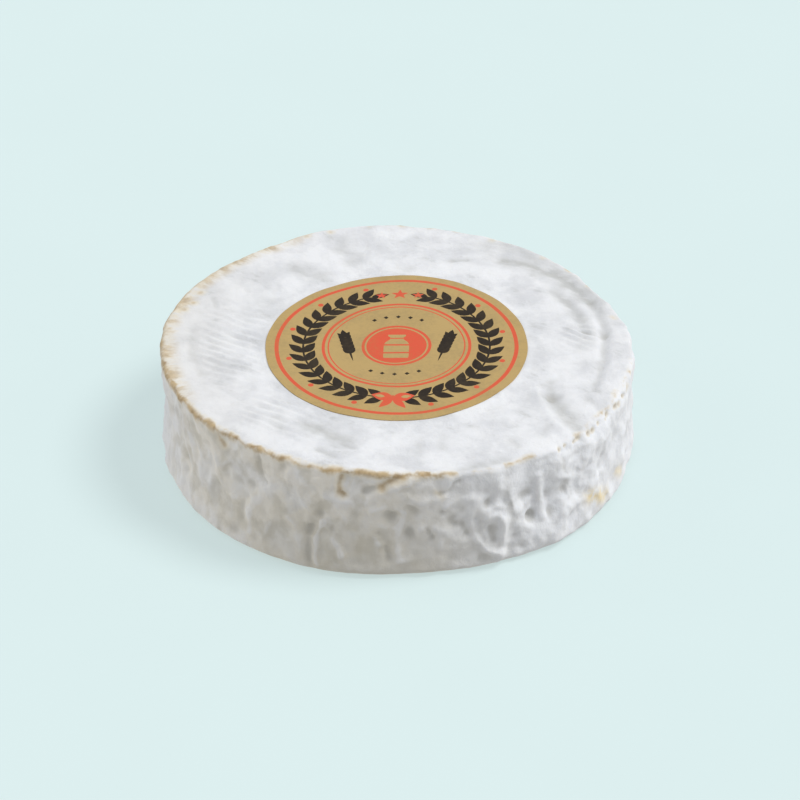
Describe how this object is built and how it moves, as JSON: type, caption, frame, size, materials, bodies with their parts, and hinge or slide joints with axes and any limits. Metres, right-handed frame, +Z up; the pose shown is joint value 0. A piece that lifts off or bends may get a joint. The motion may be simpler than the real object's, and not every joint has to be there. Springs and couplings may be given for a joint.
{
  "type": "cheese wheel",
  "caption": "Whole uncut wheel of soft cheese with a lumpy bloomy white rind and a round printed paper label on its top face.",
  "frame": {"origin": "middle of the flat underside that the wheel rests on, at floor level", "axes": "+Z up, along the wheel's short axis; +X to the right as seen from the front; -Y towards the viewer, the side where the label lies closest to the rim"},
  "size_m": [0.1387, 0.135, 0.0358],
  "materials": {
    "rind": "dry, velvety white mould bloom over a soft lumpy rind, with ochre crust showing along the rim; no gloss",
    "label_paper": "thin smooth paper printed old gold, with orange-red rings and black ornament; slight sheen"
  },
  "bodies": {
    "root": {"cheese": "rind", "label": "label_paper"}
  },
  "joints": []
}
